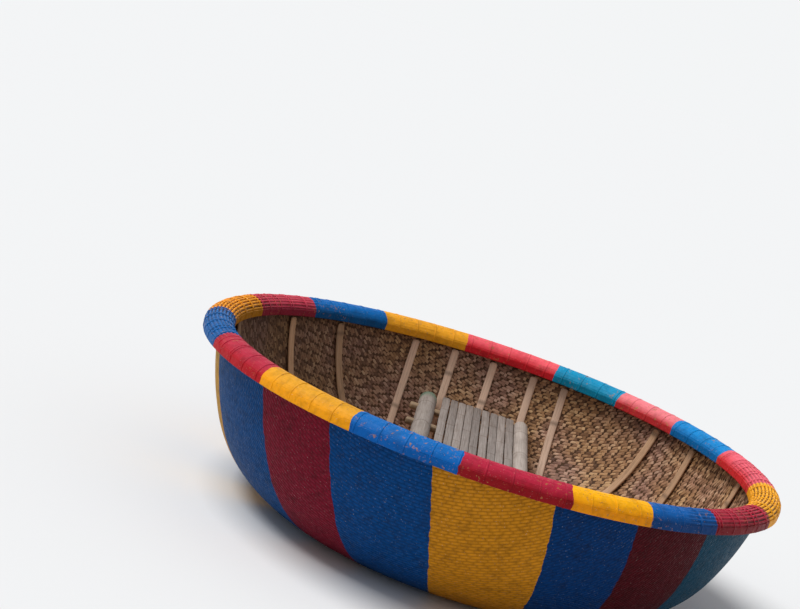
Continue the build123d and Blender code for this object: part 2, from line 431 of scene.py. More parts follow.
paint_group, given = new_tree(
    "Brushed paint", "ShaderNodeTree",
    {"Colour": (0.5, 0.1, 0.1, 1.0), "Fading": 0.3, "Specks": 0.3, "Dirt": 0.4, "Chips": 0.0},
    {"Colour": COLOUR, "Roughness": FLOAT, "Height": FLOAT},
)
place = object_place(paint_group)
streaks = noise(place, 60.0, 4.0)
faded = mixed(1.0, mixed(0.008, given["Colour"], FADED_TINT), FADED_LIGHT, "MULTIPLY")
body = mixed(spots(place, 9.0, 0.35, 0.7) * given["Fading"], given["Colour"], faded)
body = mixed(ranged(streaks, 0.45, 0.75) * 0.35, body, STREAK_SHADE, "MULTIPLY")
for label, colour, masks in WEAR:
    share = given[label]
    for mask in masks:
        share = spots(place, *mask) * share
    body = mixed(share, body, colour)
rough = ranged(streaks, 0.3, 0.7, 0.42, 0.62)
close_tree(paint_group, Colour=body, Roughness=rough, Height=streaks)

# %% Shared group: bamboo grain
WEATHERED, KNOT_COLOUR = paint(92, 74, 62), paint(86, 66, 52)

grain_group, given = new_tree(
    "Bamboo grain", "ShaderNodeTree",
    {"Light": (0.5, 0.4, 0.3, 1.0), "Dark": (0.2, 0.15, 0.1, 1.0), "Weathering": 0.4},
    {"Colour": COLOUR, "Roughness": FLOAT, "Height": FLOAT},
)
along, across, tone, knot = [
    attribute(grain_group, name) for name in ("along", "across", "tone", "knot")]
fibres = noise(vector(along * 5.0, across * 420.0, tone * 40.0), 1.0, 4.0, 0.6)
blotches = noise(vector(along * 14.0, across * 60.0, tone * 90.0), 1.0, 4.0, 0.6)
wood = mixed(ranged(fibres, 0.35, 0.72), given["Light"], given["Dark"])
wood = mixed(ranged(blotches, 0.48, 0.74) * given["Weathering"], wood, WEATHERED)
wood = mixed(ranged(knot, 0.1, 0.9, 0.0, 0.55), wood, KNOT_COLOUR)
wood = shaded(wood, ranged(tone, 0.0, 1.0, 0.72, 1.14))
rough = ranged(fibres, 0.3, 0.7, 0.5, 0.8)
close_tree(grain_group, Colour=wood, Roughness=rough, Height=fibres)
print("Shared groups:", [turn_group.name, paint_group.name, grain_group.name])


# %% [markdown]
# ## Materials
# A painted material looks its colour up by the angle round the boat. The bamboo materials take
# light and dark fibre colours, and the mat takes its colour from the tone that each strip
# carries. Bump nodes add the relief that is too fine to model.


# %% Material helpers
def new_material(name, **constants):
    """A material with a Principled shader, whose constant inputs are named with _ for a space."""
    material = bpy.data.materials.new(name)
    material.use_nodes = True
    tree = material.node_tree
    shader = tree.nodes["Principled BSDF"]
    for label, value in constants.items():
        shader.inputs[label.replace("_", " ")].default_value = value
    return material, tree, shader


def use_group(tree, group, **values):
    """Place a shared group with this material's values. Its outputs come in lower case."""
    node = tree.nodes.new("ShaderNodeGroup")
    node.node_tree = group
    for label, value in values.items():
        feed(node.inputs[label], value)
    return {output.name.lower(): Value(tree, output) for output in node.outputs}


def dress(shader, relief, colour, height, roughness=None):
    """Feed a shader with a finish, and its relief in metres as a bump."""
    feed(shader.inputs["Base Color"], colour)
    if roughness:
        feed(shader.inputs["Roughness"], roughness)
    bump = step(height.tree, "ShaderNodeBump", {"Height": height, "Distance": relief})
    feed(shader.inputs["Normal"], bump)


def banded(tree, bands, twist=0.0):
    """The colour of the band that a place lies in."""
    turn = use_group(tree, turn_group, Twist=twist)["turn"]
    stops = sorted(((start + 180) % 360 / 360, paint(*colour)) for start, colour in bands)
    return ramp(turn, [(0.0, stops[-1][1])] + stops, "CONSTANT")


# %% Finish of the rim's paint
RIM_HEIGHT = 0.510
LIT_TOP_FROM, LIT_TOP_TO, LIT_TOP_UNEVEN = RIM_HEIGHT + 0.006, RIM_HEIGHT + 0.034, 0.02


def rim_finish(tree):
    """The rim's paint: its bands, painted light towards the top, specks, chips and dirt."""
    # painted shade in the sides' colours, painted light and sheen in the tops' colours
    sides = banded(tree, [(start, side) for start, side, _ in RIM_BANDS])
    lit_tops = banded(tree, [(start, top) for start, _, top in RIM_BANDS])
    place = object_place(tree)
    uneven_height = noise(place, 14.0) * LIT_TOP_UNEVEN + parts_of(place)[2]
    colour = mixed(ranged(uneven_height, LIT_TOP_FROM, LIT_TOP_TO), sides, lit_tops)
    return use_group(tree, paint_group, Colour=colour, Specks=0.25, Dirt=0.35, Chips=0.8)


# %% Finish of bare bamboo
def painted_left_shade(colour, shade_full_x, shade_none_x, darkest):
    """Painted shade: a colour darkened towards the boat's left end, from one X to another."""
    x = parts_of(object_place(colour.tree))[0]
    return shaded(colour, ranged(x, shade_full_x, shade_none_x, darkest, 1.0))


STAIN, STAIN_SHARE = paint(86, 122, 96), 0.65
STAIN_LENGTH, STAIN_BLUR, STAIN_UNEVEN = 0.07, 0.05, 0.08


def bamboo_material(name, light, dark, weathering=0.4, stained_from=None):
    """Bamboo with its grain. A green stain can lie on the boat's left half, from one Y on."""
    material, tree, shader = new_material(name, Specular_IOR_Level=0.35)
    finish = use_group(tree, grain_group, Light=paint(*light), Dark=paint(*dark),
                       Weathering=weathering)
    # painted shade: every bamboo piece is darkened towards the boat's left end
    finish["colour"] = painted_left_shade(finish["colour"], shade_full_x=-0.93, shade_none_x=-0.8, darkest=0.4)
    if stained_from:
        place = object_place(tree)
        x, y, _ = parts_of(place)
        uneven_y = noise(place, 40.0) * STAIN_UNEVEN + y
        stain = ranged(uneven_y, stained_from, stained_from + STAIN_BLUR, 0.0, STAIN_SHARE)
        at_left = calc("LESS_THAN", x, 0.0)
        finish["colour"] = mixed(stain * at_left, finish["colour"], STAIN)
    dress(shader, relief=0.0006, **finish)
    return material


# %% Painted and bamboo materials
PAINT_RELIEF = 0.0012
rim_paint, tree, shader = new_material("rim_paint", Specular_IOR_Level=0.3, IOR=1.25)
dress(shader, PAINT_RELIEF, **rim_finish(tree))
lath_bamboo = bamboo_material("lath_bamboo", (242, 208, 182), (200, 162, 136), 0.3)
brown_bamboo = bamboo_material("brown_bamboo", (210, 170, 134), (170, 130, 96), 0.45)
slat_bamboo = bamboo_material("slat_bamboo", (154, 143, 136), (106, 95, 88))
pole_bamboo = bamboo_material("pole_bamboo", (182, 169, 160), (138, 126, 116),
                              stained_from=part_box("bench_pole_left")[1].y - STAIN_LENGTH)
rung_bamboo = bamboo_material("rung_bamboo", (168, 140, 108), (98, 76, 56))

# %% [markdown]
# ### Paint between the canes
# Along the boat's sides the paint fills the rim between its canes, and takes the band's colour.
# At the two ends the canes stand free, and the core behind them is painted dark brown as shade.
# Where the grooves are half filled, their paint is darkened with painted shade. One mask gives
# both the paint's height, in the shape, and its colour, here.

# %% Paint between the canes
# painted shade of the hollow behind the free canes
CORE_PAINTED_SHADE = paint(46, 26, 16)
core_paint, tree, shader = new_material("core_paint", Specular_IOR_Level=0.3, IOR=1.25)
finish = rim_finish(tree)
filled = filled_share(object_place(tree))
# painted shade: grooves not full of paint are darkened, and the open core is painted dark brown
core = shaded(finish["colour"], ranged(filled, 0.5, 0.95, 0.5, 1.0))
finish["colour"] = mixed(ranged(filled, 0.05, 0.45, 0.3, 1.0), CORE_PAINTED_SHADE, core)
dress(shader, PAINT_RELIEF, **finish)

# %% [markdown]
# ### The hull's coat
# Thick paint covers the woven mat, and the weave still shows through it as a low relief. Each
# place on the hull carries its place on the mat before it was pressed, and the relief is worked
# out there: rows of long bumps, each over three crossings, that step aside to and fro.

# %% Hull paint with the relief of the mat
STRIP_PITCH = 0.0115  # from one strip of the mat to the next
BUMP_CROSSINGS = 3  # how many strips a bump of the relief is long
PANEL_TWIST = 14 / 360  # turns per metre: the panels' edges swing round as they go down
VALLEY_PAINTED_SHADE, VALLEY_SHARE = (0.35, 0.33, 0.33, 1.0), 0.6
BRUSH_SHARE = 0.8  # how high the brush marks stand, against the weave's bumps


def twill_relief(tree):
    """Height of the relief, from 0 to 1, from the attribute mat_place."""
    u, v, _ = parts_of(attribute(tree, "mat_place", PLACE))
    row_place = v / STRIP_PITCH
    rounded = calc("SINE", calc("FRACT", row_place) * math.pi)
    to_and_fro = calc("PINGPONG", calc("FLOOR", row_place), BUMP_CROSSINGS - 1)
    share = calc("FRACT", (u / STRIP_PITCH - to_and_fro) / BUMP_CROSSINGS)
    arched = calc("SINE", share * math.pi)
    return calc("POWER", rounded, 0.6) * calc("POWER", arched, 0.5)


hull_paint, tree, shader = new_material("hull_paint", Specular_IOR_Level=0.3, IOR=1.18)
finish = use_group(tree, paint_group, Colour=banded(tree, HULL_PANELS, PANEL_TWIST),
                   Fading=0.25, Specks=0.3, Dirt=0.4)
bumps = twill_relief(tree)
# painted shade: the weave's valleys under the paint are darkened
valleys = (1.0 - bumps) * VALLEY_SHARE
finish["colour"] = mixed(valleys, finish["colour"], VALLEY_PAINTED_SHADE, "MULTIPLY")
finish["height"] = bumps + finish["height"] * BRUSH_SHARE
dress(shader, relief=0.0018, **finish)

# %% [markdown]
# ### The mat's strips
# Inside, the mat is bare bamboo, tan to brown, with golden and rosy patches a hand or two
# across. Each strip carries a tone, and the patches shift all strips together. The left end is
# darker with painted shade.

# %% Mat and its dark backing
TONE_STOPS = (0.0, 0.25, 0.6, 1.0)
GOLDEN = [(60, 36, 20), (120, 82, 50), (184, 138, 94), (230, 188, 138)]
ROSY = [(58, 35, 28), (112, 77, 62), (176, 132, 110), (226, 186, 162)]
SMUDGE, FIBRE_SHADE = paint(60, 40, 28), paint(70, 50, 36)

mat_bamboo, tree, shader = new_material("mat_bamboo", Specular_IOR_Level=0.3)
tone, place = attribute(tree, "tone"), object_place(tree)
golden, rosy = [ramp(tone, [(stop, paint(*colour)) for stop, colour in zip(TONE_STOPS, colours)])
                for colours in (GOLDEN, ROSY)]
strips = mixed(spots(place, 3.2, 0.42, 0.6), golden, rosy)
strips = mixed(spots(place, 30.0, 0.55, 0.75) * 0.5, strips, SMUDGE)
# painted shade: the mat is darkened towards the boat's left end
strips = painted_left_shade(strips, shade_full_x=-0.9, shade_none_x=-0.1, darkest=0.42)
mat_place = attribute(tree, "mat_place", PLACE)
drawn_out = step(tree, "ShaderNodeMapping", {"Vector": mat_place, "Scale": (60.0, 900.0, 1.0)})
fibres = noise(drawn_out, 1.0)
strips = mixed(ranged(fibres, 0.4, 0.75, 0.0, 0.35), strips, FIBRE_SHADE)
rough = ranged(fibres, 0.3, 0.7, 0.5, 0.75)
dress(shader, relief=0.0003, colour=strips, height=fibres, roughness=rough)

# painted shade: the backing that shows in the gaps between the strips is dark brown, as they lie
# in shade
shaded_backing, tree, shader = new_material("mat_backing", Specular_IOR_Level=0.1)
shadow = noise(object_place(tree), 40.0)
dark = mixed(shadow, paint(62, 42, 28), paint(98, 70, 50))
dress(shader, relief=0.0005, colour=dark, height=shadow)

# %% [markdown]
# ## The bowl's outline
# The wall is three arcs that meet smoothly: a tall side, a tight bilge and a nearly flat floor.
# The same sizes stand in the CAD source. `bowl_profile` walks along them from the bottom's
# centre to the rim, at any depth inside the painted face, and gives the inward normal too.

# %% Sizes and outline of the bowl
RIM_RADIUS, DRAUGHT = 0.950, 0.080
SIDE_ARC, BILGE_ARC, FLOOR_ARC = 0.900, 0.400, 2.200
SIDE_TOP = (RIM_RADIUS - 0.005, RIM_HEIGHT - 0.050)  # where the side leans by WALL_LEAN
WALL_LEAN = math.radians(9.5)
WALL_THICKNESS = 0.011
PAST_TOP = -0.2  # the side goes on to this angle, over the level of its centre

side_centre = np.array(SIDE_TOP) + SIDE_ARC * np.array((-math.cos(WALL_LEAN), math.sin(WALL_LEAN)))
floor_centre = np.array((0.0, FLOOR_ARC - DRAUGHT))
apart = floor_centre - side_centre
gap = np.linalg.norm(apart)
to_side, to_floor = SIDE_ARC - BILGE_ARC, FLOOR_ARC - BILGE_ARC
along_gap = (to_side**2 - to_floor**2 + gap**2) / (2 * gap)
beside_gap = math.sqrt(to_side**2 - along_gap**2)
bilge_centre = side_centre + (along_gap * apart + beside_gap * apart[[1, 0]] * (1, -1)) / gap


def steepness(centre, through):
    """Angle below the horizontal from one point of the outline's plane to another."""
    return math.atan2(centre[1] - through[1], through[0] - centre[0])


side_end = steepness(side_centre, bilge_centre)
bilge_end = steepness(floor_centre, bilge_centre)
ARCS = [(floor_centre, FLOOR_ARC, math.pi / 2, bilge_end),
        (bilge_centre, BILGE_ARC, bilge_end, side_end),
        (side_centre, SIDE_ARC, side_end, PAST_TOP)]


# %% Points along the outline
def bowl_profile(inset, top, spacing=0.004):
    """Points (r, z) and inward normals from the bottom's centre up to a height."""
    points, normals = [], []
    for centre, radius, first, last in ARCS:
        count = int(radius * abs(last - first) / spacing) + 2
        for angle in np.linspace(first, last, count)[:-1]:
            outward = np.array((math.cos(angle), -math.sin(angle)))
            points.append(centre + (radius - inset) * outward)
            normals.append(-outward)
    points, normals = np.array(points), np.array(normals)
    low = points[:, 1] < top
    low[0] = True
    return points[low], normals[low]


def length_of(points):
    """The length of a line through some points."""
    return float(np.linalg.norm(np.diff(np.array(points), axis=0), axis=1).sum())


profile, _ = bowl_profile(0.0, 0.52)
print("From the bottom's centre to the rim along the wall:", round(length_of(profile), 3), "m")


# %% [markdown]
# ## Turned surfaces
# The coat, the mat's backing, the hoops and the paint between the canes are all turned round
# the hull's axis. A tree takes one section line, spreads a grid over it and over the full
# turn, and lets a low noise make the surface uneven, as hand work is.


# %% Start meshes
def line_mesh(name, lines, closed=False):
    """A mesh of separate lines. Each is (points, the side that each point lies on, tone)."""
    points, sides, tones, edges = [], [], [], []
    for line_points, line_sides, tone in lines:
        first = len(points)
        points += [tuple(point) for point in line_points]
        sides += [tuple(side) for side in line_sides]
        tones += [tone] * len(line_points)
        edges += [(n, n + 1) for n in range(first, len(points) - 1)]
        if closed:
            edges.append((len(points) - 1, first))
    mesh = bpy.data.meshes.new(name)
    mesh.from_pydata(points, edges, [])
    for label, kind, key, values in (("side", "FLOAT_VECTOR", "vector", sides),
                                     ("tone", "FLOAT", "value", tones)):
        layer = mesh.attributes.new(label, kind, "POINT")
        layer.data.foreach_set(key, np.array(values, np.float32).ravel())
    return mesh


def section_mesh(name, points):
    """A section line in the XZ plane, from points (r, z)."""
    flat = [(r, 0.0, z) for r, z in points]
    return line_mesh(name, [(flat, [(0, 0, 1)] * len(flat), 0.5)])


# %% Places on a line turned round the axis
def bowl_place(line, distance, angle):
    """A place on the turned line, at a distance along it and an angle, and its inward side."""
    tree, feeds = line.tree, {"Curves": line, "Length": distance}
    point, tangent = [step(tree, "GeometryNodeSampleCurve", feeds, out, mode="LENGTH")
                      for out in (1, 2)]
    along_x, _, along_z = parts_of(tangent)
    inward = vector(along_z * -1.0, 0.0, along_x)
    return [step(tree, "ShaderNodeVectorRotate",
                 {"Vector": unturned, "Axis": (0, 0, 1), "Angle": angle})
            for unturned in (point, inward)]


# %% The tree of turned surfaces
turned_tree, given = shape_tree(
    "Turned surface", Turn_Steps=360, Line_Steps=40, Line_Length=1.0, Mat_Turn=0.0,
    Lump_Scale=6.0, Lump_Height=0.001, Fill_Rise=0.0,
)
line = as_curve(given["Geometry"])
grid = flat_grid(turned_tree, 1.0, 1.0, given["Turn Steps"], given["Line Steps"])
x, y, _ = parts_of(position(turned_tree))
angle, distance = (x + 0.5) * (2 * math.pi), (y + 0.5) * given["Line Length"]
mat_angle = angle - given["Mat Turn"]
mat_place = vector(distance * calc("COSINE", mat_angle), distance * calc("SINE", mat_angle))
grid = stored(grid, "mat_place", mat_place, data_type="FLOAT_VECTOR")
bent = placed(grid, bowl_place(line, distance, angle)[0])
closed = step(turned_tree, "GeometryNodeMergeByDistance", {"Geometry": bent, "Distance": 1e-5})
place = position(turned_tree)
lumps = (noise(place, given["Lump Scale"]) - 0.5) * given["Lump Height"]
rise = filled_share(place) * given["Fill Rise"] + lumps
uneven = moved(closed, scaled(step(turned_tree, "GeometryNodeInputNormal"), rise))
close_shape(uneven, given["Material"])


def turned(name, points, turn_steps, line_steps, material, **values):
    """A turned piece from its section's points (r, z), walked so that it faces outwards."""
    return grow(name, turned_tree, section_mesh(name + "_section", points),
                Turn_Steps=turn_steps, Line_Steps=line_steps,
                Line_Length=length_of(points) - 1e-6, Material=material, **values)


# %% Painted coat and the mat's backing
HULL_TOP = 0.536
MAT_TURN = math.radians(-14)  # the mat's strips run a little askew of the bench
COAT_DEPTH, BACKING_DEPTH = 0.001, WALL_THICKNESS - 0.0022
coat_points, _ = bowl_profile(COAT_DEPTH, HULL_TOP)
coat = turned("hull_coat", coat_points, 481, 121, hull_paint, Mat_Turn=MAT_TURN,
              Lump_Height=0.0016)
fit(coat, "painted_weave", "basket_hull")

backing_points, _ = bowl_profile(BACKING_DEPTH, HULL_TOP)
backing = turned("mat_backing", backing_points[::-1], 361, 91, shaded_backing, Lump_Height=0.0)
fit(backing, "split_bamboo")

# %% [markdown]
# ## The mat
# A real mat is woven flat, out of bamboo strips that run both ways, and then pressed into the
# rim's hoop. The tree does the same. It lays short pillows on a flat grid: a long one for each
# stretch in which a strip passes over two others, then a short one for a strip that crosses
# it, then a dark gap. This repeats after four crossings. From row to row the pillows step aside
# by one crossing, to and fro, so the pattern runs in small zigzags. Then the tree presses the
# mat into the bowl: a point's distance from the middle becomes its distance along the wall.


# %% One float of the mat
def pillow(length, width, length_steps, width_steps, edge_drop):
    """A small strip with a raised middle, whose rim goes down to the backing."""
    patch = flat_grid(length.tree, length, width, length_steps, width_steps)
    x, y, _ = parts_of(position(length.tree))
    far_x, far_y = calc("ABSOLUTE", x / length) * 2.0, calc("ABSOLUTE", y / width) * 2.0
    drop = calc("MAXIMUM", calc("POWER", far_x, 2.6), calc("POWER", far_y, 2.2))
    return moved(patch, vector(z=drop * edge_drop * -1.0))


# %% The mat's rows of places, laid flat
mat_tree, given = shape_tree(
    "Woven mat", Reach=1.2, Pitch=0.01, Crossings=4, Rows=250, Floats_In_A_Row=64, Shift=0.0,
    Float_Length=0.033, Float_Width=0.0082, Length_Steps=4, Width_Steps=3, Edge_Drop=0.0014,
    Turn=0.0, Darkening=0.0, Seed=1,
)
pitch, crossings = given["Pitch"], given["Crossings"]
grid = flat_grid(mat_tree, pitch * crossings * (given["Floats In A Row"] - 1),
                 pitch * (given["Rows"] - 1), given["Floats In A Row"], given["Rows"])
place = position(mat_tree)
row = calc("ROUND", parts_of(place)[1] / pitch)
aside = calc("PINGPONG", row, crossings - 1) * pitch + given["Shift"]
grid = moved(grid, vector(aside))
outside = calc("GREATER_THAN", vector_calc("LENGTH", place), given["Reach"])
grid = step(mat_tree, "GeometryNodeDeleteGeometry", {"Geometry": grid, "Selection": outside})
small = pillow(given["Float Length"], given["Float Width"], given["Length Steps"],
               given["Width Steps"], given["Edge Drop"])

# %% Floats laid at those places, each a little off, and pressed into the bowl
OWN_TONE, ROW_TONE, LEAST_TONE = 0.5, 0.3, 0.2  # a float's tone: its own, its row's, the rest


def jitter(seed, most):
    """A random amount for each float of the mat, at most this much either way."""
    feeds = {"Min": -1.0, "Max": 1.0, "Seed": seed}
    return step(mat_tree, "FunctionNodeRandomValue", feeds, 1) * most


grid = moved(grid, vector(jitter(21, most=0.0026), jitter(22, most=0.0006)))
scale = vector(jitter(23, most=0.14) + 1.0, jitter(24, most=0.1) + 1.0, 1.0)
turn = vector(z=jitter(25, most=0.05))
askew = step(mat_tree, "FunctionNodeEulerToRotation", {"Euler": turn})
floats = step(mat_tree, "GeometryNodeInstanceOnPoints",
              {"Points": grid, "Instance": small, "Rotation": askew, "Scale": scale})
row_tone = step(mat_tree, "FunctionNodeRandomValue", {"ID": row, "Seed": given["Seed"]}, 1)
float_tone = step(mat_tree, "FunctionNodeRandomValue", {"Seed": 77}, 1)
tone = float_tone * OWN_TONE + (row_tone * ROW_TONE + LEAST_TONE) - given["Darkening"]
floats = stored(floats, "tone", tone, domain="INSTANCE")
mat = step(mat_tree, "GeometryNodeRealizeInstances", {"Geometry": floats})
mat = stored(mat, "mat_place", place, data_type="FLOAT_VECTOR")
u, v, lift = parts_of(place)
distance = vector_calc("LENGTH", vector(u, v))
point, inward = bowl_place(as_curve(given["Geometry"]), distance,
                           calc("ARCTAN2", v, u) + given["Turn"])
close_shape(placed(mat, vector_calc("ADD", point, scaled(inward, lift))), given["Material"])

# %% Weave the mat
MAT_TOP, MAT_EDGE = 0.500, 0.022  # its highest place, and how far the last float stops before it
MAT_DEPTH = WALL_THICKNESS - 0.0002
MAT_REPEAT = 4  # how many crossings the pattern takes to repeat
SPARE = 2  # columns each way beyond the reach, because rows step aside
SHORT_SHIFT = 1.5 * STRIP_PITCH  # from a long float's middle to the next short one's
mat_points, _ = bowl_profile(MAT_DEPTH, MAT_TOP)
mat_line = section_mesh("mat_line", mat_points)
mat_reach = length_of(mat_points) - MAT_EDGE
rows = 2 * int(mat_reach / STRIP_PITCH) + 1
columns = 2 * (int(mat_reach / (MAT_REPEAT * STRIP_PITCH)) + SPARE) + 1
weave = {"Reach": mat_reach, "Pitch": STRIP_PITCH, "Crossings": MAT_REPEAT, "Rows": rows,
         "Floats_In_A_Row": columns, "Turn": MAT_TURN, "Material": mat_bamboo}
mat = grow("mat_floats", mat_tree, mat_line, Float_Length=0.0250, Float_Width=0.0104,
           Edge_Drop=0.0021, Length_Steps=5, **weave)
fit(mat, "split_bamboo")
# painted shade: Darkening lowers the tone of the short crossing pieces a little
crossings = grow("mat_crossings", mat_tree, mat_line, Float_Length=0.0145, Float_Width=0.0116,
                 Shift=SHORT_SHIFT, Length_Steps=3, Darkening=0.05, Seed=5, **weave)
fit(crossings, "split_bamboo")
print("Rows in the mat:", rows)

# %% [markdown]
# ## Sticks that follow a line
# Laths, slats, poles, rungs, canes and ties are all one section carried along a line. The tree
# sweeps a section between a round and a square, swells it at bamboo knots, rounds the ends,
# and can set copies of the result all round the boat. It writes down how far along and across
# the stick each point lies, for the grain.

# %% The tree of sticks: its lines and its section
KNOT_SCATTER = 7.3  # metres along the stick by which a whole tone shifts its knots
TONE_APART = 31.0  # metres by which a whole tone shifts the noise that makes a stick waver

stick_tree, given = shape_tree(
    "Stick along a line", Width=0.03, Thickness=0.01, Squareness=1.0, Section_Steps=12,
    End_Rounding=0.01, End_Share=0.5, Knot_Pitch=10.0, Knot_Width=0.012, Knot_Rise=0.0,
    Knot_Scatter=0.0, Copies=1, Kept_From=-1.0, Waver=0.0, Waver_Scale=3.0,
)
tree = stick_tree
along = step(tree, "GeometryNodeSplineParameter", out=1)
lines = stored(as_curve(given["Geometry"]), "along", along)
side = step(tree, "GeometryNodeInputNamedAttribute", {"Name": "side"}, data_type="FLOAT_VECTOR")
lines = step(tree, "GeometryNodeSetCurveNormal", {"Curve": lines, "Normal": side}, mode="FREE")


def squared(value, size):
    """A circle's sine or cosine, raised to a power so that the circle can turn square."""
    power = calc("POWER", calc("ABSOLUTE", value), given["Squareness"])
    return calc("SIGN", value) * power * (size * 0.5)


circle = step(tree, "GeometryNodeCurvePrimitiveCircle",
              {"Resolution": given["Section Steps"], "Radius": 1.0})
x, y, _ = parts_of(position(tree))
across = squared(y, given["Width"])
circle = stored(circle, "across", across)
section = placed(circle, vector(squared(x, given["Thickness"]), across))

# %% The stick's size along its line, from its rounded ends and its knots
whole = step(tree, "GeometryNodeSplineLength")
from_end = calc("MINIMUM", along, whole - along)
rounding = calc("MAXIMUM", 1.0 - from_end / given["End Rounding"], 0.0)
fullness = calc("SQRT", calc("MAXIMUM", 0.0, 1.0 - rounding * rounding))
fullness = (fullness - 1.0) * given["End Share"] + 1.0
tone = step(tree, "GeometryNodeInputNamedAttribute", {"Name": "tone"})
knot_shift = tone * given["Knot Scatter"] * KNOT_SCATTER
from_knot = calc("PINGPONG", along - whole * 0.5 + knot_shift, given["Knot Pitch"] * 0.5)
knot = calc("MAXIMUM", 0.0, 1.0 - from_knot / given["Knot Width"])
lines = stored(lines, "knot", knot)
size = fullness * (knot * given["Knot Rise"] + 1.0)
stick = step(tree, "GeometryNodeCurveToMesh",
             {"Curve": lines, "Profile Curve": section, "Scale": size, "Fill Caps": True})

# %% Copies of the stick round the boat, kept where an open end is near enough
dots = step(tree, "GeometryNodePoints", {"Count": given["Copies"]})
number = step(tree, "GeometryNodeInputIndex")
alone = calc("COMPARE", given["Copies"], 1.0, 0.1)
angle = (number + 0.5) * (2 * math.pi) / given["Copies"] * (1.0 - alone)
facing = step(tree, "FunctionNodeEulerToRotation", {"Euler": vector(z=angle)})
direction = vector(calc("COSINE", angle), calc("SINE", angle))
kept = calc("GREATER_THAN", towards_open_end(direction), given["Kept From"])
copies = step(tree, "GeometryNodeInstanceOnPoints",
              {"Points": dots, "Selection": kept, "Instance": stick, "Rotation": facing})
made = step(tree, "GeometryNodeRealizeInstances", {"Geometry": copies})

# A slow waver, another one for each tone
own_place = vector_calc("ADD", position(tree), vector(z=tone * TONE_APART))
drift = noise(own_place, given["Waver Scale"], 2.0, out=1)
drift = vector_calc("SUBTRACT", drift, (0.5, 0.5, 0.5))
close_shape(moved(made, scaled(drift, given["Waver"])), given["Material"])


def sticks(name, lines, material, closed=False, **values):
    """A piece made of sticks along lines."""
    return grow(name, stick_tree, line_mesh(name + "_lines", lines, closed), Material=material,
                **values)


# %% [markdown]
# ## Laths
# Split bamboo laths lie on the mat inside the bowl, five along the bench and eight across it.
# Some of those start at a slant, as a maker sets them where the wall needs them. Each follows an
# upright plane through the bowl, so the bowl's own shape bows it, and its line carries the
# direction in which its flat face looks.


# %% Lines over the bowl
def bowl_line(turn, offset, first, last, depth, top, spacing=0.02):
    """A line over the bowl, turned from +X and offset to its left, between two places on it."""
    points, normals = bowl_profile(depth, top)
    half = math.sqrt(points[-1, 0] ** 2 - offset**2)
    on_wall = np.sqrt(np.maximum(points[:, 0] ** 2 - offset**2, 0))
    steps = np.concatenate((np.arange(0, half, spacing), on_wall))
    steps = np.unique(np.round(np.concatenate((-steps, steps, [first, last])), 4))
    steps = steps[(steps >= max(first, -half)) & (steps <= min(last, half))]
    radii = np.maximum(np.hypot(steps, offset), 1e-6)
    heights, tilt_r, tilt_z = [np.interp(radii, points[:, 0], values)
                               for values in (points[:, 1], normals[:, 0], normals[:, 1])]
    cosine, sine = math.cos(math.radians(turn)), math.sin(math.radians(turn))
    x, y = steps * cosine - offset * sine, steps * sine + offset * cosine
    line = np.stack((x, y, heights), axis=1)
    sides = np.stack((tilt_r * x / radii, tilt_r * y / radii, tilt_z), axis=1)
    return line, sides


# %% Laths on the inside of the bowl
PAST_RIM = 1.2
LONG_LATHS = [(-90, x, -PAST_RIM, PAST_RIM, tone) for x, tone in (
    (-0.297, 0.8), (-0.141, 1.0), (0.013, 0.95), (0.175, 0.6), (0.297, 0.35))]
CROSS_LATHS = [  # turn from +X, offset to its left, first and last place on it, tone
    (0, -0.680, -PAST_RIM, PAST_RIM, 0.3),
    (0, -0.520, -PAST_RIM, PAST_RIM, 0.6),
    (0, -0.200, -PAST_RIM, PAST_RIM, 0.5),
    (0, 0.200, -PAST_RIM, PAST_RIM, 0.7),
    (17, 0.446, -0.030, PAST_RIM, 0.65),
    (34, 0.0, 0.445, PAST_RIM, 0.4),
    (-24, 0.195, -PAST_RIM, -0.260, 1.0),
    # the last lath's low tone is painted shade
    (-24, 0.421, -PAST_RIM, -0.340, 0.3),
]
LATH_WIDTH, LATH_THICKNESS, LATH_TOP = 0.029, 0.007, 0.4745
CROSS_LATH_LIFT = 0.004  # the laths across lie this much higher, over the long ones


def laths(name, places, depth, nodes, material):
    """Laths that lie at a depth inside the painted face, for some CAD nodes."""
    lines = [(*bowl_line(*place, depth + LATH_THICKNESS / 2, LATH_TOP), tone)
             for *place, tone in places]
    piece = sticks(name, lines, material, Width=LATH_WIDTH, Thickness=LATH_THICKNESS,
                   Squareness=0.55, Section_Steps=12, End_Rounding=0.006, Knot_Pitch=0.31,
                   Knot_Rise=0.10, Knot_Width=0.014, Knot_Scatter=1.0, Waver=0.005,
                   Waver_Scale=5.0)
    fit(piece, "split_bamboo", *nodes)


laths("long_laths", LONG_LATHS, WALL_THICKNESS, [f"long_lath_{n}" for n in range(1, 6)],
      lath_bamboo)
laths("cross_laths", CROSS_LATHS, WALL_THICKNESS + CROSS_LATH_LIFT,
      [f"cross_lath_{n}" for n in range(1, 8)], brown_bamboo)

# %% [markdown]
# ## Bench
# Nine bamboo strips lie side by side on rungs, which pass through two thick bamboo poles. The
# strips are split by hand, so their edges waver, their knots fall at different places, and
# dark gaps show between them.

# %% Lines along and across the bench
BENCH_TURN = math.radians(-0.9)
GOLDEN_STEP = 0.618  # tones a multiple of this apart spread evenly
ROUND_KNOT = 0.014  # a line's points are close together this far either way of a knot
KNOTS_WITHIN = 0.94  # nearer to an end than this share of the half length, knots get no points


def bench_turned(x, y, turn=BENCH_TURN):
    """A level place turned with the bench."""
    return x * math.cos(turn) - y * math.sin(turn), x * math.sin(turn) + y * math.cos(turn)


def unturned_box(node):
    """The middle of a CAD node, turned back by the bench's turn, and the node's size."""
    low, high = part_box(node)
    x, y, z = (low + high) / 2
    return (*bench_turned(x, y, -BENCH_TURN), z), high - low


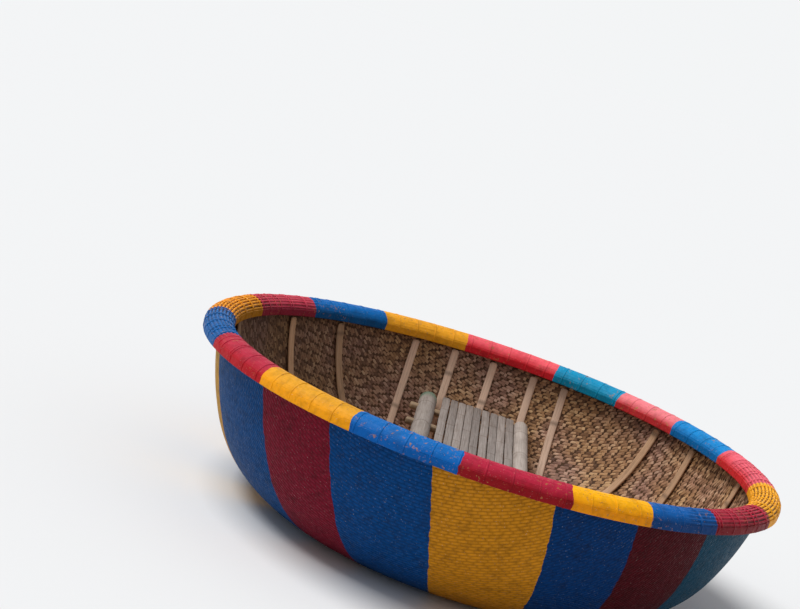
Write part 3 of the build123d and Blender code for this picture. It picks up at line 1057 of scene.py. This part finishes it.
def bench_line(x, y, z, half, along_x=False, knot_pitch=9.0, knot_shift=0.0):
    """A straight line turned with the bench, with points close together at ends and knots."""
    ends = half * np.array([0.97, 0.982, 0.989, 0.994, 0.998, 1.0])
    knots = np.arange(-5, 6) * knot_pitch - knot_shift
    knots = knots[abs(knots) < KNOTS_WITHIN * half]
    knots = np.add.outer(knots, np.linspace(-ROUND_KNOT, ROUND_KNOT, 9)).ravel()
    steps = np.unique(np.concatenate((-ends, np.linspace(-0.95, 0.95, 49) * half, knots, ends)))
    points = [(*(bench_turned(x + t, y) if along_x else bench_turned(x, y + t)), z)
              for t in steps]
    return points, [(0, 0, 1)] * len(points)


# %% Slats
SLAT_WIDTH, SLAT_THICKNESS = 0.0289, 0.012
GAPS_AFTER = [0.0046, 0.0014, 0.0012, 0.0016, 0.0042, 0.0040, 0.0012, 0.0034]
SLAT_KNOTS = 0.43
END_ROOM = 0.001  # how far slats and rungs end inside the CAD ones
slat_lines = []
(x, y, z), size = unturned_box("bench_slat_1")
for number, gap in enumerate([-SLAT_WIDTH] + GAPS_AFTER, start=1):
    x += SLAT_WIDTH + gap
    tone = number * GOLDEN_STEP % 1.0
    line = bench_line(x, y, z, size.y / 2 - END_ROOM, knot_pitch=SLAT_KNOTS,
                      knot_shift=tone * KNOT_SCATTER % SLAT_KNOTS)
    slat_lines.append((*line, tone))
slats = sticks("bench_slats", slat_lines, slat_bamboo, Width=SLAT_WIDTH,
               Thickness=SLAT_THICKNESS, Squareness=0.42, Section_Steps=20, End_Rounding=0.012,
               End_Share=0.45, Knot_Pitch=SLAT_KNOTS, Knot_Width=0.008, Knot_Rise=0.05,
               Knot_Scatter=1.0, Waver=0.005, Waver_Scale=3.5)
fit(slats, "weathered_bamboo", *[f"bench_slat_{n}" for n in range(1, 10)])

# %% Poles and rungs
POLE_KNOTS = 0.33
KNOT_ROOM, POLE_END_ROOM = 0.004, 0.003  # they keep knots and waver inside the CAD poles
for name, tone in (("bench_pole_left", 0.0), ("bench_pole_right", 0.75)):
    middle, size = unturned_box(name)
    diameter = size.z - KNOT_ROOM
    line = bench_line(*middle, size.y / 2 - POLE_END_ROOM, knot_pitch=POLE_KNOTS)
    pole = sticks(name + "_bamboo", [(*line, tone)], pole_bamboo, Width=diameter,
                  Thickness=diameter, Section_Steps=28, End_Rounding=0.03, End_Share=0.75,
                  Knot_Pitch=POLE_KNOTS, Knot_Width=0.008, Knot_Rise=0.05, Waver=0.003,
                  Waver_Scale=3.0)
    fit(pole, "bamboo_pole", name)

RUNG_WIDTH, RUNG_THICKNESS, RUNG_TONE_STEP = 0.034, 0.026, 0.43
rung_lines = []
for number in range(1, 7):
    middle, size = unturned_box(f"bench_rung_{number}")
    points, sides = bench_line(*middle, size.x / 2 - END_ROOM, along_x=True)
    rung_lines.append((points[::3], sides[::3], number * RUNG_TONE_STEP % 1.0))
rungs = sticks("bench_rungs", rung_lines, rung_bamboo, Width=RUNG_WIDTH,
               Thickness=RUNG_THICKNESS, Squareness=0.7, Section_Steps=14, End_Rounding=0.004,
               Waver=0.003, Waver_Scale=9.0)
fit(rungs, "weathered_bamboo", *[f"bench_rung_{n}" for n in range(1, 7)])

# %% [markdown]
# ## Rim
# Two flat hoops grip the wall's edge between bundles of canes. The canes run round the boat
# side by side over a domed top. Flat strips cross them near the boat's two ends, and ring ties
# bind the whole rim. Paint has run between the canes and fills the grooves almost to the top
# along the sides, but leaves them open at those ends.

# %% Sizes on the rim's section
HALF_RIM = 0.051
HOOP_THICKNESS, HOOP_HEIGHT, HOOP_TOP = 0.008, 0.026, -0.0005
DOME_RISE = 0.033
CANE_PITCH, CANE_WIDTH = 0.0123, 0.0086
CORE_DEPTH = 0.0042  # from the canes' crown to the core between them, where no paint fills it
CANE_SHOWS = 0.0006  # how far the canes stand out of the paint that fills the sides
dome_arc = (HALF_RIM**2 + DOME_RISE**2) / (2 * DOME_RISE)
dome_half_angle = math.asin(HALF_RIM / dome_arc)
dome_drop = dome_arc - DOME_RISE - HOOP_TOP
cane_count = 2 * round(dome_half_angle * dome_arc / CANE_PITCH)


def on_dome(angle, lift):
    """A place (r, z) on the rim's dome at an angle from upright, lifted off its surface."""
    reach = dome_arc + lift
    return (RIM_RADIUS + reach * math.sin(angle),
            RIM_HEIGHT + reach * math.cos(angle) - dome_drop)


def rim_section(corners):
    """Rim offsets (across, up) as section points (r, z)."""
    return [(RIM_RADIUS + across, RIM_HEIGHT + up) for across, up in corners]


def rounded_loop(left, right, low, high, radius, steps=5):
    """A closed rounded rectangle as offsets, walked clockwise seen from the front."""
    loop = []
    corners = [(right - radius, high - radius, 90), (right - radius, low + radius, 0),
               (left + radius, low + radius, -90), (left + radius, high - radius, 180)]
    for x, z, start in corners:
        for number in range(steps):
            angle = math.radians(start - 90 * number / (steps - 1))
            loop.append((x + radius * math.cos(angle), z + radius * math.sin(angle)))
    return loop + loop[:1]


# %% Hoops
HOOP_ROUNDING = 0.0022
for name, side in (("rim_outer_hoop", 1), ("rim_inner_hoop", -1)):
    edges = sorted((side * HALF_RIM, side * (HALF_RIM - HOOP_THICKNESS)))
    loop = rounded_loop(*edges, HOOP_TOP - HOOP_HEIGHT, HOOP_TOP, HOOP_ROUNDING)
    hoop = turned(name + "_wood", rim_section(loop[::-1]), 361, 41, rim_paint,
                  Lump_Scale=9.0, Lump_Height=0.0022)
    fit(hoop, "painted_hoop", name)

# %% Canes round the dome, with the paint between them
CANE_POINTS = 300
turns = np.linspace(0, 2 * math.pi, CANE_POINTS, endpoint=False)
cane_lines = []
for number in range(cane_count):
    angle = ((number + 0.5) / cane_count * 2 - 1) * dome_half_angle
    r, z = on_dome(angle, -CANE_WIDTH / 2)
    points = [(r * math.cos(t), r * math.sin(t), z) for t in turns]
    cane_lines.append((points, [(0, 0, 1)] * CANE_POINTS, number * GOLDEN_STEP % 1.0))
canes = sticks("rim_canes", cane_lines, rim_paint, closed=True, Width=CANE_WIDTH,
               Thickness=CANE_WIDTH, Section_Steps=8, End_Share=0.0, Waver=0.0022,
               Waver_Scale=14.0)
fit(canes, "painted_cane", "rim_outer_bundle", "rim_inner_bundle")

filler_points = [on_dome(angle, -CORE_DEPTH)
                 for angle in np.linspace(-dome_half_angle, dome_half_angle, 40)]
filler = turned("rim_core", filler_points[::-1], 541, 41, core_paint, Lump_Height=0.0009,
                Lump_Scale=45.0, Fill_Rise=CORE_DEPTH - CANE_SHOWS)
fit(filler, "painted_cane")


# %% Cross strips
def arc_line(points):
    """A line in the rim's section plane, with each point's outward direction."""
    points = np.array(points)
    tangents = np.gradient(points, axis=0)
    tangents /= np.linalg.norm(tangents, axis=1)[:, None]
    line = [(r, 0.0, z) for r, z in points]
    return line, [(-tz, 0.0, tx) for tx, tz in tangents], 0.5


STRIP_COUNT, STRIP_WIDTH, STRIP_THICKNESS = 62, 0.0064, 0.0020
STRIPS_REACH = math.radians(40)  # either way from an open end
OVER_CANES, STRIP_WAVE = 0.0002, 0.0007  # how high a strip lies, and how far it goes up and down
dome_angles = np.linspace(-dome_half_angle, dome_half_angle, 2 * cane_count + 1)
strip_points = [on_dome(angle, OVER_CANES + STRIP_WAVE * (-1) ** (n + 1) - STRIP_THICKNESS / 4)
                for n, angle in enumerate(dome_angles)]
strips = sticks("rim_cross_strips", [arc_line(strip_points)], rim_paint, Width=STRIP_WIDTH,
                Thickness=STRIP_THICKNESS, Squareness=0.6, Section_Steps=8, End_Share=0.0,
                Copies=STRIP_COUNT, Kept_From=math.cos(STRIPS_REACH), Waver=0.0015,
                Waver_Scale=20.0)
fit(strips, "painted_cane")

# %% Ring ties
TIE_COUNT, TIE_WIDTH, TIE_THICKNESS = 77, 0.0062, 0.0012
TIE_SUNK = 0.0002  # how far its inner face lies in the hoops' paint
DOME_SHARE = 0.93  # how much of the dome the tie touches before it turns down
low = HOOP_TOP - HOOP_HEIGHT
reach = HALF_RIM + TIE_THICKNESS / 2 - TIE_SUNK
up_inside = [(-0.012, low - 0.001), (-reach + 0.006, low - 0.001),
             (-reach + 0.001, low + 0.001), (-reach, low + 0.006), (-reach, -0.018),
             (-reach, -0.004)]
over_dome = [on_dome(angle, OVER_CANES)
             for angle in np.linspace(-DOME_SHARE, DOME_SHARE, 21) * dome_half_angle]
down_outside = [(-across, height) for across, height in up_inside[::-1]]
tie_points = rim_section(up_inside) + over_dome + rim_section(down_outside)
ties = sticks("rim_ties_bound", [arc_line(tie_points)], rim_paint, Width=TIE_WIDTH,
              Thickness=TIE_THICKNESS, Squareness=0.6, Section_Steps=8, End_Share=0.0,
              Copies=TIE_COUNT, Waver=0.0012, Waver_Scale=16.0)
fit(ties, "tie", "rim_ties")

# %% [markdown]
# ## Floor and light
# The boat floats, so the plain pale floor lies at its waterline. The floor has a round hole whose
# edge is hidden in the hull's wall, so it doesn't flood the bowl. The light is soft daylight: an
# even sky, and a broad sun high on the left. Together they light a level face about as brightly
# as its colour is written. Behind the floor the camera sees the floor's own tone, so no horizon
# cuts across, and gloss sees the same tone too.

# %% Floor
FLOOR_REACH, FLOOR_SIDES = 60.0, 128
FLOOR_COLOUR = (0.80, 0.80, 0.80, 1.0)
wall_middle, _ = bowl_profile(WALL_THICKNESS / 2, RIM_HEIGHT)
hole_radius = float(np.interp(0.0, wall_middle[:, 1], wall_middle[:, 0]))
turns = np.linspace(0, 2 * math.pi, FLOOR_SIDES, endpoint=False)
rings = [(radius * math.cos(t), radius * math.sin(t), 0.0)
         for radius in (hole_radius, FLOOR_REACH) for t in turns]
faces = [(n, n + FLOOR_SIDES, (n + 1) % FLOOR_SIDES + FLOOR_SIDES, (n + 1) % FLOOR_SIDES)
         for n in range(FLOOR_SIDES)]
floor_mesh = bpy.data.meshes.new("floor")
floor_mesh.from_pydata(rings, [], faces)
print("The floor's hole:", round(hole_radius, 3), "m in radius")
floor = bpy.data.objects.new("floor", floor_mesh)
bpy.context.collection.objects.link(floor)
floor_material, _, _ = new_material("pale_floor", Base_Color=FLOOR_COLOUR, Roughness=1.0,
                                    Specular_IOR_Level=0.0)
floor_mesh.materials.append(floor_material)

# %% Sky and sun
SKY_COLOUR, SKY_STRENGTH = (0.94, 0.97, 1.0, 1.0), 0.42
SUN_FROM, SUN_STRENGTH, SUN_WIDTH = Vector((-0.50, 0.0, 0.866)), 2.65, math.radians(34)
SEEN_TONE = (0.8987, 0.9112, 0.9193, 1.0)  # the lit floor's tone, as the render gives it

world = bpy.data.worlds.new("soft_daylight")
bpy.context.scene.world = world
world.use_nodes = True
tree = world.node_tree
sky = tree.nodes["Background"]
sky.inputs["Color"].default_value = SKY_COLOUR
sky.inputs["Strength"].default_value = SKY_STRENGTH
seen = step(tree, "ShaderNodeBackground", {"Color": SEEN_TONE, "Strength": 1.0})
rays = tree.nodes.new("ShaderNodeLightPath").outputs
looks, glossy, through = [Value(tree, rays[f"Is {kind} Ray"])
                          for kind in ("Camera", "Glossy", "Transmission")]
looks = calc("MAXIMUM", calc("MAXIMUM", looks, glossy), through)
either = tree.nodes.new("ShaderNodeMixShader")
for socket, value in zip(either.inputs, (looks, Value(tree, sky.outputs[0]), seen)):
    feed(socket, value)
tree.links.new(either.outputs[0], tree.nodes["World Output"].inputs["Surface"])

sun = bpy.data.objects.new("sun", bpy.data.lights.new("sun", "SUN"))
sun.data.energy, sun.data.angle = SUN_STRENGTH, SUN_WIDTH
sun.rotation_mode = "QUATERNION"
sun.rotation_quaternion = (-SUN_FROM).to_track_quat("-Z", "Y")
bpy.context.collection.objects.link(sun)
